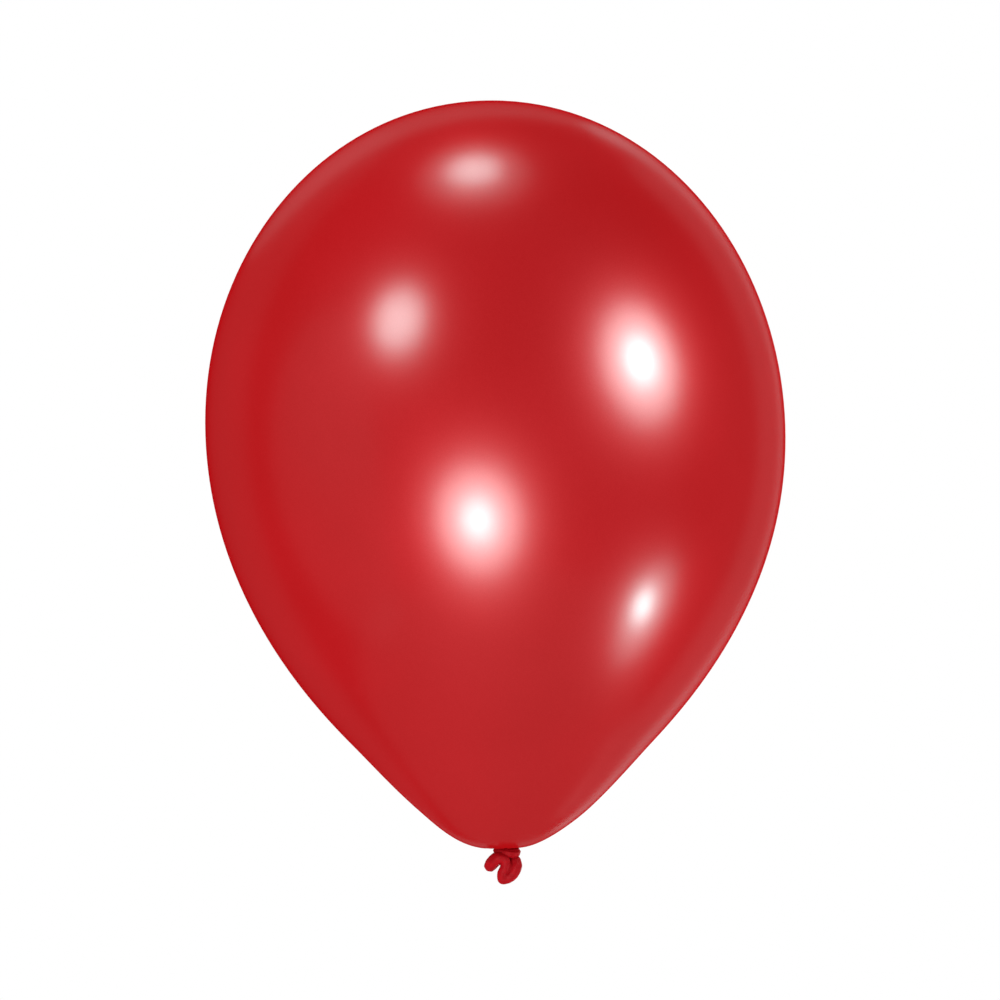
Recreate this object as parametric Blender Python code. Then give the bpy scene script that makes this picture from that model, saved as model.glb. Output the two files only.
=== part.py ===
"""An inflated latex party balloon, tied off with an overhand knot. Metres, +Z up.

The origin is the middle of the gathered neck, where a ribbon or a balloon stick takes hold.
The film swells upwards from there, and the knot and the tail hang below it. -Y is the front.

A balloon is dipped as one skin. It is drawn here as the stretches that tying it makes out of
that skin: the blown film, the neck, the loop of the knot, the bight that comes out of the
knot, the sleeve of the tail and the rolled rim round the mouth. They bend against each other
where the rubber is soft, so each stands a little clear of the next.
"""

import math

import bmesh
import bpy
from mathutils import Matrix, Vector
from mathutils.geometry import interpolate_bezier

MM = 0.001

# The outline of the film, as radius and height.
EQUATOR_RADIUS = 140.0 * MM
EQUATOR_HEIGHT = 200.5 * MM
CROWN_HEIGHT = 359.8 * MM
CROWN_HANDLE = 78.8 * MM
EQUATOR_HANDLE_UP = 88.0 * MM
EQUATOR_HANDLE_DOWN = 82.6 * MM
TAPER_RADIUS = 71.2 * MM
TAPER_HEIGHT = 48.0 * MM
TAPER_FROM_AXIS = math.radians(43.7)
TAPER_HANDLE = 22.0 * MM
BOWL_RADIUS = 8.0 * MM
BOWL_HEIGHT = -2.0 * MM
BOWL_HANDLE = 17.5 * MM

# Round the neck the skin is drawn up into a dimple, and folds back down along the neck.
FOLD_RADIUS = 3.0 * MM
FOLD_HEIGHT = 0.8 * MM
NECK_RADIUS = 2.0 * MM
NECK_EDGE_HEIGHT = -1.0 * MM
DIMPLE_BELOW = 10.0 * MM

# Gauge of the rubber: the blown film, and the thick skin that the neck never stretches.
FILM = 0.02 * MM
NECK_WALL = 0.4 * MM

# Clearance where one stretch of rubber bends or turns against the next.
GAP = 0.3 * MM

# The neck goes on into the knot. Its top is a spigot in the bore that the film leaves.
SPIGOT_TOP = 1.6 * MM
NECK_BOTTOM = -4.0 * MM
NECK_CHAMFER = 0.5 * MM

# The loop of the knot: a fat ring round the neck, wider than deep, and lower on its right.
LOOP_CENTRE = Vector((1.6, 0.0, -3.4)) * MM
LOOP_HALF_WIDTH = 5.6 * MM
LOOP_HALF_DEPTH = 4.3 * MM
LOOP_STRAND = 1.7 * MM
LOOP_TILT = math.radians(6.0)

# The bight is the strand that leaves the loop. The tail bends about its round lower end.
# BIGHT_TOP and TAIL_PIVOT are the middles of its two round ends.
BIGHT_STRAND = 1.2 * MM
BIGHT_TOP = -5.6 * MM
TAIL_PIVOT = Vector((1.0, 0.0, -8.0)) * MM

# The rolled rim, from the front of the fold round the left lobe, the back and the right lobe.
# Each point has the direction, in degrees round the sleeve's root, of the wall that leads to it.
RIM_STRAND = 1.5 * MM
RIM_ROUTE = (
    ((0.8, -3.3, -8.6), -90),
    ((-3.4, -2.4, -9.9), -140),
    ((-6.8, 0.0, -11.2), -180),
    ((-3.6, 2.5, -10.0), -230),
    ((1.4, 3.3, -8.7), -270),
    ((6.2, 2.1, -9.9), -315),
    ((7.4, 0.9, -12.4), -345),
    ((4.8, 0.4, -15.6), -360),
    ((1.0, -0.9, -16.9), -385),
    ((0.0, -2.9, -13.0), -420),
)
RIM_SAMPLES = 5

# The sleeve of the tail, from its root below the bight to just inside the rim.
SLEEVE_ROOT = Vector((1.0, 0.1, -10.3)) * MM
SLEEVE_ROOT_RADIUS = 1.1 * MM
SLEEVE_WALL = 0.5 * MM
SLEEVE_RINGS = 3
SLEEVE_STEPS = 40

# How finely round shapes are divided.
FILM_SIDES = 40
FILM_SPAN = 9
FOLD_SPAN = 4
NECK_SIDES = 16
BIGHT_END_RINGS = 5
LOOP_POINTS = 24
STRAND_RESOLUTION = 2
SHARP_EDGE = math.radians(40)

RUBBER = {"color": (0.50, 0.012, 0.018, 1.0), "roughness": 0.35}
NECK_RUBBER = {"color": (0.36, 0.006, 0.012, 1.0), "roughness": 0.42}


def clear_scene():
    for old in list(bpy.data.objects):
        bpy.data.objects.remove(old)


def rubber(name, color, roughness):
    material = bpy.data.materials.new(name)
    material.use_nodes = True
    shader = material.node_tree.nodes["Principled BSDF"]
    shader.inputs["Base Color"].default_value = color
    shader.inputs["Roughness"].default_value = roughness
    shader.inputs["Metallic"].default_value = 0.0
    return material


def pivot(name, location, parent=None):
    """An empty on a joint's axis, in the balloon's frame, which carries the pieces that move."""
    empty = bpy.data.objects.new(name, None)
    bpy.context.scene.collection.objects.link(empty)
    empty.empty_display_size = 0.01
    if parent:
        empty.parent = parent
        location = location - parent.matrix_world.translation
    empty.location = location
    bpy.context.view_layer.update()
    return empty


def place(name, data, material, carrier):
    """Adds a piece drawn in the balloon's frame, with its origin moved on to its carrier."""
    piece = bpy.data.objects.new(name, data)
    bpy.context.scene.collection.objects.link(piece)
    data.transform(Matrix.Translation(-carrier.matrix_world.translation))
    data.materials.append(material)
    piece.parent = carrier
    return piece


def mesh_from(bm, name):
    bmesh.ops.recalc_face_normals(bm, faces=bm.faces)
    mesh = bpy.data.meshes.new(name)
    bm.to_mesh(mesh)
    bm.free()
    mesh.shade_smooth()
    mesh.set_sharp_from_angle(angle=SHARP_EDGE)
    return mesh


def bezier(start, start_handle, end_handle, end, steps):
    """Points on one span, without its last point."""
    corners = [Vector((r, z, 0.0)) for r, z in (start, start_handle, end_handle, end)]
    return [Vector((p.x, p.y)) for p in interpolate_bezier(*corners, steps + 1)[:-1]]


def film_outline():
    """The film's outer side as (radius, height) from the crown down to the cut edge at the neck."""
    crown = (0.0, CROWN_HEIGHT)
    equator = (EQUATOR_RADIUS, EQUATOR_HEIGHT)
    taper = (TAPER_RADIUS, TAPER_HEIGHT)
    bowl = (BOWL_RADIUS, BOWL_HEIGHT)
    fold = (FOLD_RADIUS, FOLD_HEIGHT)
    edge = (NECK_RADIUS, NECK_EDGE_HEIGHT)
    run, rise = math.sin(TAPER_FROM_AXIS), math.cos(TAPER_FROM_AXIS)
    above_taper = (taper[0] + run * TAPER_HANDLE, taper[1] + rise * TAPER_HANDLE)
    below_taper = (taper[0] - run * TAPER_HANDLE, taper[1] - rise * TAPER_HANDLE)
    return [
        *bezier(
            crown,
            (CROWN_HANDLE, CROWN_HEIGHT),
            (EQUATOR_RADIUS, EQUATOR_HEIGHT + EQUATOR_HANDLE_UP),
            equator,
            FILM_SPAN,
        ),
        *bezier(
            equator,
            (EQUATOR_RADIUS, EQUATOR_HEIGHT - EQUATOR_HANDLE_DOWN),
            above_taper,
            taper,
            FILM_SPAN,
        ),
        *bezier(taper, below_taper, (BOWL_RADIUS + BOWL_HANDLE, BOWL_HEIGHT), bowl, FILM_SPAN),
        *bezier(
            bowl,
            ((BOWL_RADIUS + FOLD_RADIUS) / 2, BOWL_HEIGHT),
            ((BOWL_RADIUS + FOLD_RADIUS) / 2, FOLD_HEIGHT),
            fold,
            FOLD_SPAN,
        ),
        *bezier(
            fold,
            (NECK_RADIUS, FOLD_HEIGHT),
            (NECK_RADIUS, FOLD_HEIGHT / 2),
            edge,
            FOLD_SPAN,
        ),
        Vector(edge),
    ]


def gauge_at(radius, height):
    """The film's thickness, which grows from the bowl's ring to the neck."""
    if height > DIMPLE_BELOW or radius > BOWL_RADIUS:
        return FILM
    return FILM + (NECK_WALL - FILM) * (BOWL_RADIUS - radius) / (BOWL_RADIUS - NECK_RADIUS)


def inner_side(outline):
    """The gas side of the film: the outline moved inwards by the gauge, square to the skin."""
    inner = []
    for i, point in enumerate(outline):
        before, after = outline[max(i - 1, 0)], outline[min(i + 1, len(outline) - 1)]
        along = (after - before).normalized()
        if i == 0:
            along = Vector((1.0, 0.0))
        inwards = Vector((along.y, -along.x))
        inner.append(point + inwards * gauge_at(*point))
    return inner


def revolve(bm, outline, sides):
    """Skins an open outline round the Z axis. A point on the axis becomes a single vertex."""
    rings = []
    for radius, height in outline:
        count = sides if radius > 0.0 else 1
        turns = [2 * math.pi * i / count for i in range(count)]
        circle = [(radius * math.cos(turn), radius * math.sin(turn), height) for turn in turns]
        rings.append([bm.verts.new(point) for point in circle])
    for upper, lower in zip(rings, rings[1:]):
        bridge(bm, upper, lower)
    return rings


def bridge(bm, upper, lower):
    """Faces between two rings of vertices, one of which may be a single point."""
    sides = max(len(upper), len(lower))
    for i in range(sides):
        j = (i + 1) % sides
        corners = [upper[i % len(upper)], upper[j % len(upper)]]
        corners += [lower[j % len(lower)], lower[i % len(lower)]]
        bm.faces.new(list(dict.fromkeys(corners)))


def make_envelope(material, carrier):
    """The blown film: a thin bag whose only opening is the bore of the neck."""
    bm = bmesh.new()
    outline = film_outline()
    outer = revolve(bm, outline, FILM_SIDES)
    inner = revolve(bm, inner_side(outline), FILM_SIDES)
    bridge(bm, outer[-1], inner[-1])
    return place("envelope", mesh_from(bm, "envelope"), material, carrier)


def make_neck(material, carrier):
    """The gathered neck, with a spigot that goes up into the film's bore."""
    spigot_radius = NECK_RADIUS - NECK_WALL - GAP
    shoulder = NECK_EDGE_HEIGHT - GAP
    outline = [
        (0.0, SPIGOT_TOP),
        (spigot_radius - NECK_CHAMFER, SPIGOT_TOP),
        (spigot_radius, SPIGOT_TOP - NECK_CHAMFER),
        (spigot_radius, shoulder),
        (NECK_RADIUS, shoulder),
        (NECK_RADIUS, NECK_BOTTOM + NECK_CHAMFER),
        (NECK_RADIUS - NECK_CHAMFER, NECK_BOTTOM),
        (0.0, NECK_BOTTOM),
    ]
    bm = bmesh.new()
    revolve(bm, outline, NECK_SIDES)
    return place("neck", mesh_from(bm, "neck"), material, carrier)


def strand(name, points, radius, material, carrier):
    """A closed loop of rubber strand along these points."""
    curve = bpy.data.curves.new(name, "CURVE")
    curve.dimensions = "3D"
    curve.bevel_depth = radius
    curve.bevel_resolution = STRAND_RESOLUTION
    spline = curve.splines.new("POLY")
    spline.points.add(len(points) - 1)
    spline.use_cyclic_u = True
    for target, point in zip(spline.points, points):
        target.co = (*point, 1.0)
    return place(name, curve, material, carrier)


def make_loop(material, carrier):
    """The loop of the overhand knot, which lies round the neck under the film."""
    tilt = Matrix.Rotation(LOOP_TILT, 3, "Y")
    points = []
    for i in range(LOOP_POINTS):
        turn = 2 * math.pi * i / LOOP_POINTS
        flat = Vector((LOOP_HALF_WIDTH * math.cos(turn), LOOP_HALF_DEPTH * math.sin(turn), 0.0))
        points.append(LOOP_CENTRE + tilt @ flat)
    return strand("knot_loop", points, LOOP_STRAND, material, carrier)


def make_bight(material, carrier):
    """The strand that comes down out of the loop, a capsule upright over the tail's pivot."""
    dome = []
    for i in range(1, BIGHT_END_RINGS + 1):
        turn = math.pi / 2 * i / BIGHT_END_RINGS
        dome.append((BIGHT_STRAND * math.sin(turn), BIGHT_STRAND * math.cos(turn)))
    top = [(radius, BIGHT_TOP + rise) for radius, rise in dome]
    bottom = [(radius, TAIL_PIVOT.z - rise) for radius, rise in reversed(dome)]
    tip = [(0.0, BIGHT_TOP + BIGHT_STRAND)]
    toe = [(0.0, TAIL_PIVOT.z - BIGHT_STRAND)]
    bm = bmesh.new()
    revolve(bm, tip + top + bottom + toe, NECK_SIDES)
    bmesh.ops.translate(bm, verts=bm.verts, vec=(TAIL_PIVOT.x, TAIL_PIVOT.y, 0.0))
    return place("knot_bight", mesh_from(bm, "knot_bight"), material, carrier)


def catmull_rom(a, b, c, d, t):
    """A point on the smooth curve from b to c."""
    return 0.5 * (2 * b + (c - a) * t + (2 * a - 5 * b + 4 * c - d) * t**2 + (3 * b - a - 3 * c + d) * t**3)


def rim_line():
    """The rim's centreline as (point, direction round the sleeve's root), closed and smooth."""
    count = len(RIM_ROUTE)
    stops = [Vector((*point, turn)) for point, turn in RIM_ROUTE]
    lap = Vector((0.0, 0.0, 0.0, -360.0))
    line = []
    for i in range(count):
        near = [stops[(i + k) % count] + lap * ((i + k) // count) for k in (-1, 0, 1, 2)]
        for step in range(RIM_SAMPLES):
            p = catmull_rom(*near, step / RIM_SAMPLES)
            line.append((p.to_3d() * MM, math.radians(p.w)))
    return line


def make_rim(material, carrier):
    """The rolled bead round the mouth, folded over so that a lobe hangs on each side."""
    return strand("rolled_rim", [point for point, _ in rim_line()], RIM_STRAND, material, carrier)


def clear_edge(root, target, rim_points):
    """The furthest place on the way from the root to the rim that leaves a gap to the whole rim."""
    reach = RIM_STRAND + GAP + SLEEVE_WALL / 2
    for step in range(SLEEVE_STEPS, 0, -1):
        edge = root.lerp(target, step / SLEEVE_STEPS)
        if min((edge - point).length for point in rim_points) > reach:
            return edge
    return target


def sleeve_rows():
    """Rows of points on the middle of the sleeve's wall, from its root out to the rim."""
    line = rim_line()
    rim_points = [point for point, _ in line]
    rows = [[] for _ in range(SLEEVE_RINGS + 1)]
    for target, turn in line:
        root = SLEEVE_ROOT + SLEEVE_ROOT_RADIUS * Vector((math.cos(turn), math.sin(turn), 0.0))
        edge = clear_edge(root, target, rim_points)
        for i, row in enumerate(rows):
            row.append(root.lerp(edge, i / SLEEVE_RINGS))
    return rows


def make_sleeve(material, carrier):
    """The tail's flattened sleeve: a thin funnel, closed at its root and open at the rim."""
    rows = sleeve_rows()
    count = len(rows[0])
    bm = bmesh.new()
    outer, inner = [], []
    for i, row in enumerate(rows):
        outer.append([])
        inner.append([])
        for j, point in enumerate(row):
            along = rows[min(i + 1, SLEEVE_RINGS)][j] - rows[max(i - 1, 0)][j]
            across = row[(j + 1) % count] - row[j - 1]
            half = along.cross(across).normalized() * SLEEVE_WALL / 2
            outer[i].append(bm.verts.new(point + half))
            inner[i].append(bm.verts.new(point - half))
    for side in (outer, inner):
        for upper, lower in zip(side, side[1:]):
            bridge(bm, upper, lower)
    bridge(bm, outer[-1], inner[-1])
    for side in (outer, inner):
        centre = sum((v.co for v in side[0]), Vector()) / count
        bridge(bm, [bm.verts.new(centre)], side[0])
    return place("tail_sleeve", mesh_from(bm, "tail_sleeve"), material, carrier)


def main():
    clear_scene()
    film_rubber = rubber("blown_film", **RUBBER)
    neck_rubber = rubber("neck_rubber", **NECK_RUBBER)
    balloon = pivot("balloon", Vector())
    knot = pivot("neck_twist", Vector(), balloon)
    bight = pivot("tail_sway", TAIL_PIVOT, knot)
    tail = pivot("tail_flap", TAIL_PIVOT, bight)
    make_envelope(film_rubber, balloon)
    make_neck(neck_rubber, knot)
    make_loop(neck_rubber, knot)
    make_bight(neck_rubber, bight)
    make_sleeve(neck_rubber, tail)
    make_rim(neck_rubber, tail)


main()
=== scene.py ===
"""The looks of the tied latex balloon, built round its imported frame. Metres, +Z up, -Y is the front.

The film is a body of revolution that puckers where it is gathered into the neck. The knot and the
tail are strands of thick rubber, swept along short routes and fused, so that they crease where
they touch. The film mirrors a softbox for each highlight and cards along its rims, and fills that
it doesn't mirror light the colour of the rubber.
"""

import math

import bmesh
import bpy
from mathutils import Matrix, Vector, noise
from mathutils.geometry import interpolate_bezier

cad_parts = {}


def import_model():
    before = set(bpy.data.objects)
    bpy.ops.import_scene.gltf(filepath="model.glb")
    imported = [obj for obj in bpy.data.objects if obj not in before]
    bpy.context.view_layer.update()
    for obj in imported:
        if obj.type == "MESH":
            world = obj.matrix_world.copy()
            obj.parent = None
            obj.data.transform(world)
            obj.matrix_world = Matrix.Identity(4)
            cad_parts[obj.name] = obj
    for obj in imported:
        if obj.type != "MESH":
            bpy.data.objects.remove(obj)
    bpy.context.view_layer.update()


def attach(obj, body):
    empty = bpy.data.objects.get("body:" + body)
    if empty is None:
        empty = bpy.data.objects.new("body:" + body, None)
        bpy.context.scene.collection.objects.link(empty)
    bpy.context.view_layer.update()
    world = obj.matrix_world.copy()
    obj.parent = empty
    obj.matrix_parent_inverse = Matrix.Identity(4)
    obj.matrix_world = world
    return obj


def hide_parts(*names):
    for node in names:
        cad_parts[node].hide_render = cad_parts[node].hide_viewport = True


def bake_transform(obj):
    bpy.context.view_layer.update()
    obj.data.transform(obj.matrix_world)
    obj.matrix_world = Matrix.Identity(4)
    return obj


MM = 0.001

# ---- the film, with the same outline as the part's ----

# Below the taper the film rounds off in a bowl, whose middle folds up into a dimple round the
# throat.
EQUATOR_RADIUS = 140.0 * MM
EQUATOR_HEIGHT = 200.5 * MM
CROWN_HEIGHT = 359.8 * MM
CROWN_HANDLE = 78.8 * MM
EQUATOR_HANDLE_UP = 88.0 * MM
EQUATOR_HANDLE_DOWN = 82.6 * MM
TAPER_RADIUS = 71.2 * MM
TAPER_HEIGHT = 48.0 * MM
TAPER_FROM_AXIS = math.radians(43.7)
TAPER_HANDLE = 22.0 * MM
BOWL_RADIUS = 8.0 * MM
BOWL_HEIGHT = -1.1 * MM
BOWL_HANDLE = 19.5 * MM
FOLD_RADIUS = 3.0 * MM
FOLD_HEIGHT = 0.8 * MM
THROAT_RADIUS = 2.3 * MM
THROAT_BOTTOM = -1.0 * MM
FILM_GAUGE = 0.15 * MM

# Vertices round the film, and rings along each span of its outline and of its fold at the neck.
FILM_SIDES = 256
FILM_SPAN = 44
FOLD_SPAN = 10

# The blown film isn't quite true: its upper half sits a little to the left, its lower half to the
# right, and the lowest part runs straight into the neck.
LEAN = 1.35 * MM
LEAN_SPAN = 80.0 * MM
LEAN_FROM_NECK = 18.0 * MM

# Pleats run out from the neck, and the film is smooth again beyond their reach. They fade outwards
# by a power, stray sideways by an angle, and are deeper in some places than in others.
PLEATS = 13
PLEAT_REACH = 17.0 * MM
PLEAT_DEPTH = 0.7 * MM
PLEAT_FADE = 2.2
PLEAT_STRAY = 3.0
PLEAT_STRAY_SCALE = 1.7
PLEAT_SHARE = 0.6
PLEAT_VARIATION = 0.7
PLEAT_VARIATION_SCALE = 2.3

# ---- strands of thick rubber, each point as (x, y, z, radius) in millimetres ----

NECK_ROUTE = (
    (0.0, 0.0, 1.2, 1.9),
    (0.0, 0.0, -0.2, 2.0),
    (0.2, 0.0, -1.8, 2.4),
    (0.4, 0.0, -3.2, 2.6),
)
WRAP_ROUTE = (
    (-2.6, -1.3, -2.4, 1.4),
    (0.2, -2.9, -2.7, 1.5),
    (3.3, -3.3, -3.5, 2.1),
    (6.0, -1.9, -3.6, 2.3),
    (6.7, 0.8, -3.2, 2.1),
    (4.6, 3.2, -2.9, 1.8),
    (1.2, 3.7, -2.7, 1.6),
    (-1.8, 2.5, -2.5, 1.5),
    (-2.9, 0.6, -2.4, 1.4),
)
BIGHT_ROUTE = (
    (0.2, 0.0, -2.6, 2.2),
    (0.6, -0.2, -4.4, 2.3),
    (1.0, 0.0, -6.0, 2.1),
    (1.0, 0.0, -7.0, 1.6),
)
RIM_ROUTE = (
    (0.8, -3.2, -6.7, 2.6),
    (-2.1, -2.9, -5.9, 3.1),
    (-4.6, -1.8, -8.0, 3.2),
    (-5.9, 0.1, -9.7, 2.95),
    (-4.6, 2.0, -8.2, 2.7),
    (-1.2, 3.3, -6.6, 2.3),
    (2.8, 3.1, -6.2, 2.5),
    (5.6, 0.5, -7.2, 2.9),
    (6.4, -0.6, -9.5, 3.15),
    (5.6, -0.9, -12.1, 3.1),
    (4.0, -1.0, -14.5, 2.9),
    (1.8, -1.1, -16.0, 2.6),
    (-0.1, -1.5, -16.1, 2.4),
    (-0.2, -2.3, -13.4, 2.35),
    (1.4, -2.8, -9.9, 2.5),
)

# The sleeve spreads from a round root under the wrap to the rim. For each point of the rim, the
# turns say from where round the root its stretch of skin comes, in degrees.
SLEEVE_ROOT = Vector((1.0, 0.0, -5.4)) * MM
SLEEVE_ROOT_RADIUS = 1.9 * MM
SLEEVE_WALL = 0.9 * MM
SLEEVE_ROWS = 7
SLEEVE_TURNS = (-90, -125, -155, -180, -205, -240, -275, -305, -325, -345, -360, -375, -390, -410, -430)

STRAND_SIDES = 64
STRAND_STEPS = 14
STRAND_VOXEL = 0.16 * MM
STRAND_SMOOTHING = 3
DOME_ANGLES = (20.0, 40.0, 60.0, 80.0)

# Flutes run along a strand and wander round it by an angle. They are deep in gathered rubber and
# shallow in the rolled rim. Both depths, and the wrinkles', are shares of the strand's radius.
FLUTES = 8
FLUTE_WANDER = 2.0
GATHERED_DEPTH = 0.055
ROLLED_DEPTH = 0.012
WRINKLE_DEPTH = 0.05
WRINKLE_SCALE = 0.55

# ---- the looks of the rubber and the floor ----

# The film's red where the skin is thin and where it is thicker, and the pearl in it: bright flecks
# and a metallic sheen. The clear gloss over it is full up to the first facing of its fade, and gone
# at the second, where 0 is seen straight on and 1 is seen edge on.
THIN_FILM = (0.434, 0.0024, 0.0049)
THICK_FILM = (0.409, 0.0017, 0.0034)
PEARL_FLECK = (0.85, 0.05, 0.06)
FLECK_STRENGTH = 0.10
PEARL = 0.14
FILM_ROUGHNESS = (0.45, 0.49)
GLOSS = 0.5
GLOSS_ROUGHNESS = 0.25
GLOSS_FADE = (0.2, 0.9)

PALE_NECK = (0.41, 0.004, 0.009)
DEEP_NECK = (0.32, 0.002, 0.006)
NECK_ROUGHNESS = (0.46, 0.56)

FLOOR_GREY = (0.975, 0.975, 0.975)
FLOOR_PALE = (0.99, 0.99, 0.99)

# Nearly all values of a noise texture lie between these.
NOISE_RANGE = (0.3, 0.7)

# ---- the picture ----

# The camera looks level from the front, and VIEW_WIDTH is what it sees across at the balloon.
CAMERA_AIM = Vector((1.7, 0.0, 166.9)) * MM
CAMERA_DISTANCE = 3.0
VIEW_WIDTH = 483.2 * MM
CAMERA_ROLL = math.radians(0.935)
SENSOR_WIDTH = 36.0

# The balloon floats high above a wide floor. The studio round it is white, and dim in the gloss.
FLOOR_RADIUS = 36.0
FLOOR_DROP = 3.2
STUDIO_WHITE = 1.0
STUDIO_GLOSS = 0.08

# Each lamp as azimuth and elevation in degrees from the balloon's middle, its width and height in
# degrees, and how bright it is. Azimuth 0 is the camera's side and 90 the right.
LAMP_DISTANCE = 0.8

# What the film mirrors: a softbox for each highlight, a wider glow round most of them, and dimmer
# cards that draw the rims. They give less red, so that a highlight is milky on the red film.
SOFTBOX_COLOUR = (0.5, 1.0, 1.0)
MIRRORED = {
    "key_right": (57.0, 17.3, 12.5, 11.5, 80.0),
    "key_right_glow": (57.3, 17.0, 31.0, 29.0, 22.5),
    "key_low": (-7.5, -24.7, 11.0, 10.5, 80.0),
    "key_low_glow": (-7.3, -24.7, 29.5, 28.5, 22.5),
    "soft_left": (-38.0, 29.8, 17.0, 17.0, 36.0),
    "soft_top": (-60.0, 85.3, 14.0, 14.0, 30.0),
    "soft_top_glow": (-50.0, 85.0, 30.0, 30.0, 2.5),
    "low_right": (73.6, -40.8, 5.5, 5.5, 195.0),
    "low_right_glow": (77.5, -41.5, 17.0, 23.0, 9.0),
    "card_left": (-68.0, -10.0, 50.0, 80.0, 0.5),
    "card_below": (10.0, -84.0, 90.0, 92.0, 0.45),
    "card_right": (136.0, -5.0, 34.0, 102.0, 0.8),
    "card_back_right": (158.0, 0.0, 26.0, 80.0, 4.0),
    "card_back_top": (190.0, 34.0, 54.0, 42.0, 1.35),
    "card_back_low": (178.0, -32.0, 36.0, 42.0, 1.6),
    "card_left_edge": (222.0, 4.0, 60.0, 98.0, 0.34),
}

# Soft light that the film doesn't mirror.
FILLS = {
    "fill_front": (-20.0, -35.0, 60.0, 60.0, 0.4),
    "fill_left": (-60.0, 14.0, 60.0, 60.0, 0.75),
    "fill_right": (124.0, -6.0, 60.0, 60.0, 2.1),
    "fill_below": (0.0, -85.0, 60.0, 60.0, 0.4),
    "fill_top": (180.0, 60.0, 60.0, 60.0, 1.5),
}


# ---- meshes ----


def add_piece(name, mesh, material):
    piece = bpy.data.objects.new(name, mesh)
    bpy.context.scene.collection.objects.link(piece)
    mesh.materials.append(material)
    return piece


def mesh_from(bm, name):
    bmesh.ops.recalc_face_normals(bm, faces=bm.faces)
    mesh = bpy.data.meshes.new(name)
    bm.to_mesh(mesh)
    bm.free()
    mesh.shade_smooth()
    return mesh


def bridge(bm, upper, lower):
    """Faces between two rings of vertices, one of which may be a single point."""
    sides = max(len(upper), len(lower))
    for i in range(sides):
        j = (i + 1) % sides
        face = [upper[i % len(upper)], upper[j % len(upper)]]
        face += [lower[j % len(lower)], lower[i % len(lower)]]
        bm.faces.new(list(dict.fromkeys(face)))


def with_modifiers(piece):
    """Replaces the piece's mesh by what its modifiers make of it."""
    graph = bpy.context.evaluated_depsgraph_get()
    made = bpy.data.meshes.new_from_object(piece.evaluated_get(graph))
    piece.modifiers.clear()
    piece.data = made
    made.shade_smooth()
    return piece


def fuse(piece):
    """Makes one skin of strands that run into each other, and softens the creases a little."""
    remesh = piece.modifiers.new("fuse", "REMESH")
    remesh.mode = "VOXEL"
    remesh.voxel_size = STRAND_VOXEL
    soften = piece.modifiers.new("soften", "SMOOTH")
    soften.factor = 0.5
    soften.iterations = STRAND_SMOOTHING
    return with_modifiers(piece)


def bezier(start, start_handle, end_handle, end, steps):
    """Points of (radius, height) on one Bezier span, without its last point."""
    knots = [Vector((r, z, 0.0)) for r, z in (start, start_handle, end_handle, end)]
    return [Vector((p.x, p.y)) for p in interpolate_bezier(*knots, steps + 1)[:-1]]


def film_outline():
    """The film's outer side as (radius, height) from the crown down into the throat."""
    crown = (0.0, CROWN_HEIGHT)
    equator = (EQUATOR_RADIUS, EQUATOR_HEIGHT)
    taper = (TAPER_RADIUS, TAPER_HEIGHT)
    bowl = (BOWL_RADIUS, BOWL_HEIGHT)
    fold = (FOLD_RADIUS, FOLD_HEIGHT)
    throat = (THROAT_RADIUS, THROAT_BOTTOM)
    over_crown = (CROWN_HANDLE, CROWN_HEIGHT)
    over_equator = (EQUATOR_RADIUS, EQUATOR_HEIGHT + EQUATOR_HANDLE_UP)
    under_equator = (EQUATOR_RADIUS, EQUATOR_HEIGHT - EQUATOR_HANDLE_DOWN)
    run = math.sin(TAPER_FROM_AXIS) * TAPER_HANDLE
    rise = math.cos(TAPER_FROM_AXIS) * TAPER_HANDLE
    over_taper = (TAPER_RADIUS + run, TAPER_HEIGHT + rise)
    under_taper = (TAPER_RADIUS - run, TAPER_HEIGHT - rise)
    beside_bowl = (BOWL_RADIUS + BOWL_HANDLE, BOWL_HEIGHT)
    dimple_radius = (BOWL_RADIUS + FOLD_RADIUS) / 2
    return [
        *bezier(crown, over_crown, over_equator, equator, FILM_SPAN),
        *bezier(equator, under_equator, over_taper, taper, FILM_SPAN),
        *bezier(taper, under_taper, beside_bowl, bowl, FILM_SPAN),
        *bezier(bowl, (dimple_radius, BOWL_HEIGHT), (dimple_radius, FOLD_HEIGHT), fold, FOLD_SPAN),
        *bezier(fold, (THROAT_RADIUS, FOLD_HEIGHT), (THROAT_RADIUS, 0.0), throat, FOLD_SPAN),
        Vector(throat),
    ]


def noise_round(turn, layer, scale):
    """Noise on a circle, so that it meets itself after one turn."""
    return noise.noise(Vector((math.cos(turn), math.sin(turn), layer)) * scale)


def pleat_height(radius, height, turn):
    """How far the film is pushed up or down at this place by the pleats round the neck."""
    if height > EQUATOR_HEIGHT or radius > PLEAT_REACH:
        return 0.0
    nearness = 1.0 - radius / PLEAT_REACH
    clear_of_throat = min(max((radius - THROAT_RADIUS) / (BOWL_RADIUS - THROAT_RADIUS), 0.0), 1.0)
    stray = PLEAT_STRAY * noise_round(turn, 0.0, PLEAT_STRAY_SCALE)
    uneven = PLEAT_SHARE + PLEAT_VARIATION * noise_round(turn, 3.0, PLEAT_VARIATION_SCALE)
    depth = PLEAT_DEPTH * clear_of_throat * nearness**PLEAT_FADE * uneven
    return depth * math.cos(PLEATS * turn + stray)


def lean(height):
    """How far the film's middle is off the axis at this height. It eases in above the neck."""
    start = min(max(height / LEAN_FROM_NECK, 0.0), 1.0)
    ease = start**2 * (3.0 - 2.0 * start)
    return -LEAN * math.tanh((height - EQUATOR_HEIGHT) / LEAN_SPAN) * ease


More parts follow.
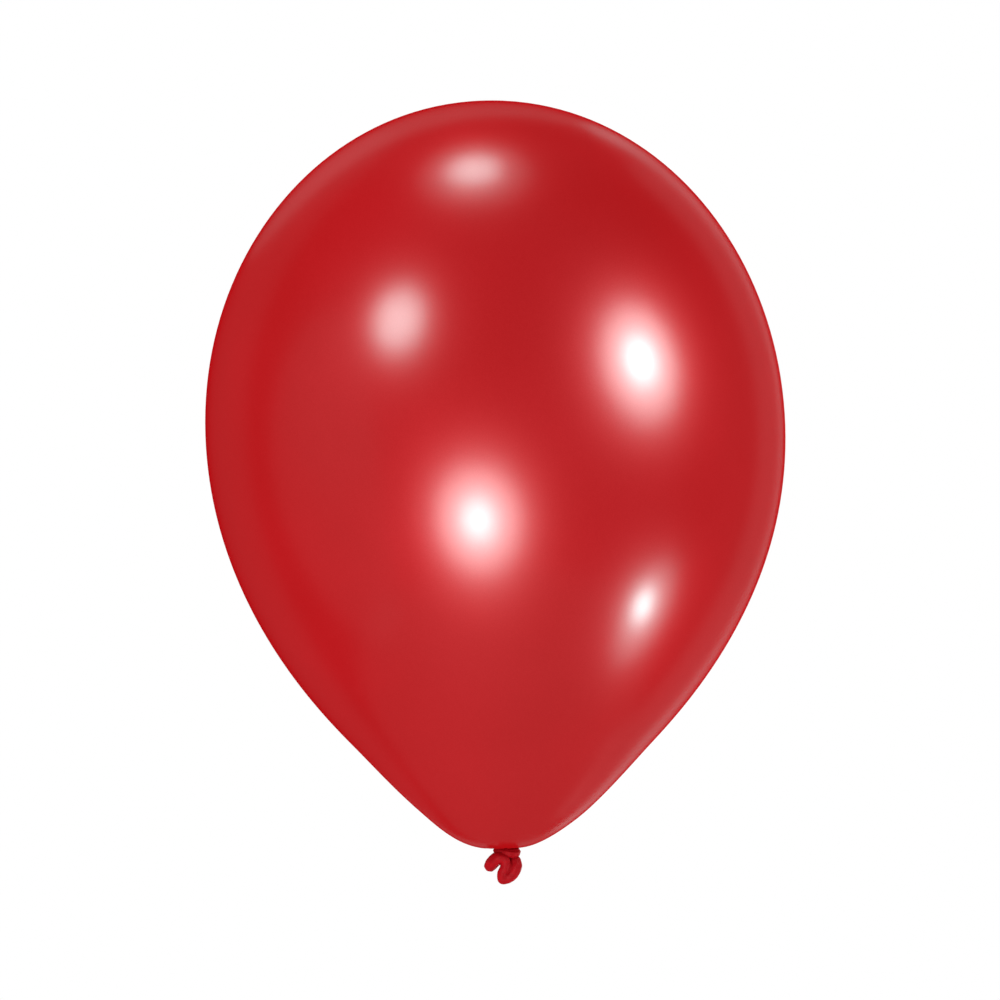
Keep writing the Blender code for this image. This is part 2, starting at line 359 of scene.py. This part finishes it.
def make_film(material):
    bm = bmesh.new()
    rings = []
    for radius, height in film_outline():
        count = FILM_SIDES if radius > 0.0 else 1
        ring = []
        for i in range(count):
            turn = 2 * math.pi * i / count
            lift = pleat_height(radius, height, turn)
            across = radius * math.cos(turn) + lean(height)
            ring.append(bm.verts.new((across, radius * math.sin(turn), height + lift)))
        rings.append(ring)
    for upper, lower in zip(rings, rings[1:]):
        bridge(bm, upper, lower)
    film = add_piece("film", mesh_from(bm, "film"), material)
    gauge = film.modifiers.new("gauge", "SOLIDIFY")
    gauge.thickness = FILM_GAUGE
    gauge.offset = -1.0
    return with_modifiers(film)


def catmull_rom(a, b, c, d, t):
    """A point on the smooth curve from b to c, which runs on from a and towards d."""
    slope = c - a
    bend = 2 * a - 5 * b + 4 * c - d
    twist = 3 * b - a - 3 * c + d
    return 0.5 * (2 * b + slope * t + bend * t**2 + twist * t**3)


def smooth_route(route, closed, lap=(0.0, 0.0, 0.0, 0.0)):
    """Vectors on a smooth curve through this route. A closed one gains this much in each lap."""
    stops = [Vector(stop) for stop in route]
    gain = Vector(lap)
    count = len(stops)
    spans = count if closed else count - 1
    line = []
    for i in range(spans):
        if closed:
            near = [stops[(i + k) % count] + gain * ((i + k) // count) for k in (-1, 0, 1, 2)]
        else:
            near = [stops[min(max(i + k, 0), count - 1)] for k in (-1, 0, 1, 2)]
        line += [catmull_rom(*near, step / STRAND_STEPS) for step in range(STRAND_STEPS)]
    if not closed:
        line.append(stops[-1])
    return line


def strand_frames(line, closed):
    """Two directions across the strand at each stop, and how far they twist in a closed lap."""
    side = Vector((0.0, 0.0, 1.0))
    count = len(line)
    frames = []
    places = [*range(count), 0] if closed else range(count)
    for i in places:
        after = line[(i + 1) % count] if closed else line[min(i + 1, count - 1)]
        before = line[i - 1] if closed else line[max(i - 1, 0)]
        along = (after.to_3d() - before.to_3d()).normalized()
        side = (side - along * side.dot(along)).normalized()
        frames.append((side, along.cross(side)))
    if not closed:
        return frames, 0.0
    last_side = frames.pop()[0]
    first_side, first_across = frames[0]
    return frames, math.atan2(last_side.dot(first_across), last_side.dot(first_side))


def strand_rings(bm, line, closed, flute_depth, seed):
    """Rings of vertices round a route of (x, y, z, radius), fluted as gathered rubber is."""
    rings = []
    count = len(line)
    frames, twist = strand_frames(line, closed)
    for i, (stop, (side, across)) in enumerate(zip(line, frames)):
        centre = stop.to_3d() * MM
        wander = FLUTE_WANDER * math.sin(2 * math.pi * i / count)
        ring = []
        for k in range(STRAND_SIDES):
            place = 2 * math.pi * k / STRAND_SIDES
            turn = place - twist * i / count
            out = side * math.cos(turn) + across * math.sin(turn)
            flute = math.cos(FLUTES * place + seed + wander)
            spot = (centre / MM + out * stop.w) * WRINKLE_SCALE
            wrinkle = noise.noise(spot + Vector((seed, 0.0, 0.0)))
            radius = stop.w * MM * (1.0 + flute_depth * flute + WRINKLE_DEPTH * wrinkle)
            ring.append(bm.verts.new(centre + out * radius))
        rings.append(ring)
    return rings


def strand(bm, route, closed, flute_depth, seed):
    """Adds a strand of rubber along a route, with its ends rounded over if it has any."""
    line = smooth_route(route, closed)
    if not closed:
        line = rounded_ends(line)
    rings = strand_rings(bm, line, closed, flute_depth, seed)
    for upper, lower in zip(rings, rings[1:]):
        bridge(bm, upper, lower)
    if closed:
        bridge(bm, rings[-1], rings[0])
        return
    for ring in (rings[0], rings[-1]):
        centre = sum((vert.co for vert in ring), Vector()) / len(ring)
        bridge(bm, [bm.verts.new(centre)], ring)


def rounded_ends(line):
    """The route with a dome of shrinking rings added at each end."""
    domes = []
    for end, inner in ((line[0], line[1]), (line[-1], line[-2])):
        away = (end.to_3d() - inner.to_3d()).normalized()
        dome = []
        for turn in DOME_ANGLES:
            angle = math.radians(turn)
            centre = end.to_3d() + away * end.w * math.sin(angle)
            dome.append(Vector((*centre, end.w * math.cos(angle))))
        domes.append(dome)
    return [*reversed(domes[0]), *line, *domes[1]]


def make_neck(material):
    """The gathered neck, from inside the film's throat down into the knot."""
    bm = bmesh.new()
    strand(bm, NECK_ROUTE, closed=False, flute_depth=GATHERED_DEPTH, seed=0.4)
    return add_piece("neck", mesh_from(bm, "neck"), material)


def make_strand_piece(name, material, route, closed, flute_depth, seed):
    bm = bmesh.new()
    strand(bm, route, closed, flute_depth, seed)
    return fuse(add_piece(name, mesh_from(bm, name), material))


def sleeve_rows():
    """Rows of points on the middle of the sleeve's skin, from its root out to the rim."""
    route = [(*point[:3], turn) for point, turn in zip(RIM_ROUTE, SLEEVE_TURNS)]
    rows = [[] for _ in range(SLEEVE_ROWS + 1)]
    for stop in smooth_route(route, closed=True, lap=(0.0, 0.0, 0.0, -360.0)):
        turn = math.radians(stop.w)
        root = SLEEVE_ROOT + SLEEVE_ROOT_RADIUS * Vector((math.cos(turn), math.sin(turn), 0.0))
        for i, row in enumerate(rows):
            row.append(root.lerp(stop.to_3d() * MM, i / SLEEVE_ROWS))
    return rows


def make_sleeve(material):
    """The tail's flattened sleeve: a funnel of thick skin from under the wrap out into the rim."""
    rows = sleeve_rows()
    total = len(rows[0])
    bm = bmesh.new()
    outer, inner = [], []
    for i, row in enumerate(rows):
        outer.append([])
        inner.append([])
        for j, point in enumerate(row):
            along = rows[min(i + 1, SLEEVE_ROWS)][j] - rows[max(i - 1, 0)][j]
            across = row[(j + 1) % total] - row[j - 1]
            half = along.cross(across).normalized() * SLEEVE_WALL / 2
            outer[i].append(bm.verts.new(point + half))
            inner[i].append(bm.verts.new(point - half))
    for side in (outer, inner):
        for upper, lower in zip(side, side[1:]):
            bridge(bm, upper, lower)
    bridge(bm, outer[-1], inner[-1])
    for side in (outer, inner):
        centre = sum((vert.co for vert in side[0]), Vector()) / total
        bridge(bm, [bm.verts.new(centre)], side[0])
    return fuse(add_piece("tail_sleeve", mesh_from(bm, "tail_sleeve"), material))


# ---- materials ----


def new_material(name):
    material = bpy.data.materials.new(name)
    material.use_nodes = True
    return material, material.node_tree, material.node_tree.nodes["Principled BSDF"]


def noise_texture(tree, scale, detail):
    place = tree.nodes.new("ShaderNodeTexCoord").outputs["Object"]
    texture = tree.nodes.new("ShaderNodeTexNoise")
    texture.inputs["Scale"].default_value = scale
    texture.inputs["Detail"].default_value = detail
    tree.links.new(place, texture.inputs["Vector"])
    return texture.outputs["Fac"]


def map_range(tree, value, source, target):
    node = tree.nodes.new("ShaderNodeMapRange")
    node.inputs["From Min"].default_value, node.inputs["From Max"].default_value = source
    node.inputs["To Min"].default_value, node.inputs["To Max"].default_value = target
    tree.links.new(value, node.inputs["Value"])
    return node.outputs["Result"]


def add_bump(tree, shader, height, strength, distance):
    bump = tree.nodes.new("ShaderNodeBump")
    bump.inputs["Strength"].default_value = strength
    bump.inputs["Distance"].default_value = distance
    tree.links.new(height, bump.inputs["Height"])
    tree.links.new(bump.outputs["Normal"], shader.inputs["Normal"])


def mix_colour(tree, factor, first, second):
    """Mixes two colours, each a tuple or a socket, with the node's colour sockets."""
    node = tree.nodes.new("ShaderNodeMix")
    node.data_type = "RGBA"
    tree.links.new(factor, node.inputs["Factor"])
    for socket, colour in zip((node.inputs[6], node.inputs[7]), (first, second)):
        if isinstance(colour, tuple):
            socket.default_value = (*colour, 1.0)
        else:
            tree.links.new(colour, socket)
    return node.outputs[2]


def film_material():
    """Blown pearl latex: red metallic pearl in the skin under a smooth, softly glossy surface."""
    material, tree, shader = new_material("pearl_film")
    mottle = noise_texture(tree, scale=14.0, detail=3.0)
    fleck = noise_texture(tree, scale=2600.0, detail=1.0)
    patches = map_range(tree, mottle, (0.35, 0.65), (0.0, 1.0))
    skin = mix_colour(tree, patches, THIN_FILM, THICK_FILM)
    flecks = map_range(tree, fleck, (0.35, 0.75), (0.0, FLECK_STRENGTH))
    tree.links.new(mix_colour(tree, flecks, skin, PEARL_FLECK), shader.inputs["Base Color"])
    roughness = map_range(tree, mottle, NOISE_RANGE, FILM_ROUGHNESS)
    tree.links.new(roughness, shader.inputs["Roughness"])
    shader.inputs["Metallic"].default_value = PEARL
    # A dark edge tint keeps the metallic pearl from turning white towards the outline.
    shader.inputs["Specular Tint"].default_value = (0.1, 0.0, 0.0, 1.0)
    shader.inputs["Specular IOR Level"].default_value = 0.0
    # The gloss is all in the coat. It fades towards the outline, which the lamps would bleach.
    edge_on = tree.nodes.new("ShaderNodeLayerWeight").outputs["Facing"]
    gloss = map_range(tree, edge_on, GLOSS_FADE, (GLOSS, 0.0))
    tree.links.new(gloss, shader.inputs["Coat Weight"])
    shader.inputs["Coat Roughness"].default_value = GLOSS_ROUGHNESS
    shader.inputs["Coat IOR"].default_value = 1.5
    add_bump(tree, shader, fleck, strength=0.04, distance=0.1 * MM)
    return material


def thick_material():
    """Unstretched rubber of the neck: deeper in colour and duller, with fine wrinkles."""
    material, tree, shader = new_material("neck_rubber")
    mottle = noise_texture(tree, scale=320.0, detail=4.0)
    wrinkle = noise_texture(tree, scale=1400.0, detail=3.0)
    patches = map_range(tree, mottle, NOISE_RANGE, (0.0, 1.0))
    tree.links.new(mix_colour(tree, patches, PALE_NECK, DEEP_NECK), shader.inputs["Base Color"])
    roughness = map_range(tree, wrinkle, NOISE_RANGE, NECK_ROUGHNESS)
    tree.links.new(roughness, shader.inputs["Roughness"])
    shader.inputs["Specular IOR Level"].default_value = 0.02
    add_bump(tree, shader, wrinkle, strength=0.25, distance=0.2 * MM)
    return material


def floor_material():
    material, tree, shader = new_material("pale_floor")
    grain = noise_texture(tree, scale=3.0, detail=2.0)
    tree.links.new(mix_colour(tree, grain, FLOOR_GREY, FLOOR_PALE), shader.inputs["Base Color"])
    shader.inputs["Roughness"].default_value = 0.9
    shader.inputs["Specular IOR Level"].default_value = 0.0
    return material


# ---- the studio ----


def make_world():
    """White for the camera and for soft light, and dim where the rubber mirrors the dark studio."""
    world = bpy.data.worlds.new("studio")
    bpy.context.scene.world = world
    world.use_nodes = True
    tree = world.node_tree
    background = tree.nodes["Background"]
    background.inputs["Color"].default_value = (1.0, 1.0, 1.0, 1.0)
    path = tree.nodes.new("ShaderNodeLightPath")
    glossy = path.outputs["Is Glossy Ray"]
    strength = map_range(tree, glossy, (0.0, 1.0), (STUDIO_WHITE, STUDIO_GLOSS))
    tree.links.new(strength, background.inputs["Strength"])


def make_lamp(name, azimuth, elevation, width, height, brightness):
    """An area light facing the balloon, as wide and high as the angles it fills from there."""
    turn, rise = math.radians(azimuth), math.radians(elevation)
    level = math.cos(rise)
    outwards = Vector((math.sin(turn) * level, -math.cos(turn) * level, math.sin(rise)))
    lamp = bpy.data.lights.new(name, "AREA")
    lamp.shape = "ELLIPSE"
    lamp.size = 2 * LAMP_DISTANCE * math.tan(math.radians(width / 2))
    lamp.size_y = 2 * LAMP_DISTANCE * math.tan(math.radians(height / 2))
    lamp.energy = brightness * math.pi * (math.pi / 4 * lamp.size * lamp.size_y)
    holder = bpy.data.objects.new(name, lamp)
    bpy.context.scene.collection.objects.link(holder)
    holder.location = Vector((0.0, 0.0, EQUATOR_HEIGHT)) + outwards * LAMP_DISTANCE
    holder.rotation_mode = "QUATERNION"
    holder.rotation_quaternion = outwards.to_track_quat("Z", "Y")
    holder.visible_camera = False
    return holder


def make_floor():
    bm = bmesh.new()
    bmesh.ops.create_circle(bm, cap_ends=True, segments=96, radius=FLOOR_RADIUS)
    floor = add_piece("floor", mesh_from(bm, "floor"), floor_material())
    floor.location.z = -FLOOR_DROP
    floor.visible_glossy = False


def make_camera():
    data = bpy.data.cameras.new("camera")
    data.sensor_width = SENSOR_WIDTH
    data.lens = SENSOR_WIDTH * CAMERA_DISTANCE / VIEW_WIDTH
    camera = bpy.data.objects.new("camera", data)
    bpy.context.scene.collection.objects.link(camera)
    stand = Matrix.Translation(CAMERA_AIM - Vector((0.0, CAMERA_DISTANCE, 0.0)))
    roll = Matrix.Rotation(CAMERA_ROLL, 4, "Y")
    level = Matrix.Rotation(math.radians(90), 4, "X")
    camera.matrix_world = stand @ roll @ level
    bpy.context.scene.camera = camera


# ---- putting it together ----


def main():
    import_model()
    bpy.context.scene.view_settings.view_transform = "Standard"
    make_camera()
    make_world()
    make_floor()
    for name, lamp in MIRRORED.items():
        softbox = make_lamp(name, *lamp)
        softbox.visible_diffuse = False
        softbox.data.color = SOFTBOX_COLOUR
    for name, lamp in FILLS.items():
        make_lamp(name, *lamp).visible_glossy = False
    pearl = film_material()
    thick = thick_material()
    film = make_film(pearl)
    neck = make_neck(thick)
    wrap = make_strand_piece(
        "knot_wrap", thick, WRAP_ROUTE, closed=True, flute_depth=GATHERED_DEPTH, seed=1.0
    )
    bight = make_strand_piece(
        "bight", thick, BIGHT_ROUTE, closed=False, flute_depth=GATHERED_DEPTH, seed=2.0
    )
    sleeve = make_sleeve(thick)
    rim = make_strand_piece(
        "rolled_mouth", thick, RIM_ROUTE, closed=True, flute_depth=ROLLED_DEPTH, seed=3.0
    )
    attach(film, "balloon")
    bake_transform(neck)
    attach(wrap, "knot")
    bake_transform(bight)
    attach(sleeve, "tail")
    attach(rim, "tail")
    stands_for = {
        film: "envelope",
        neck: "neck",
        wrap: "knot_loop",
        bight: "knot_bight",
        sleeve: "tail_sleeve",
        rim: "rolled_rim",
    }
    for piece, node in stands_for.items():
        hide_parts(node)


main()
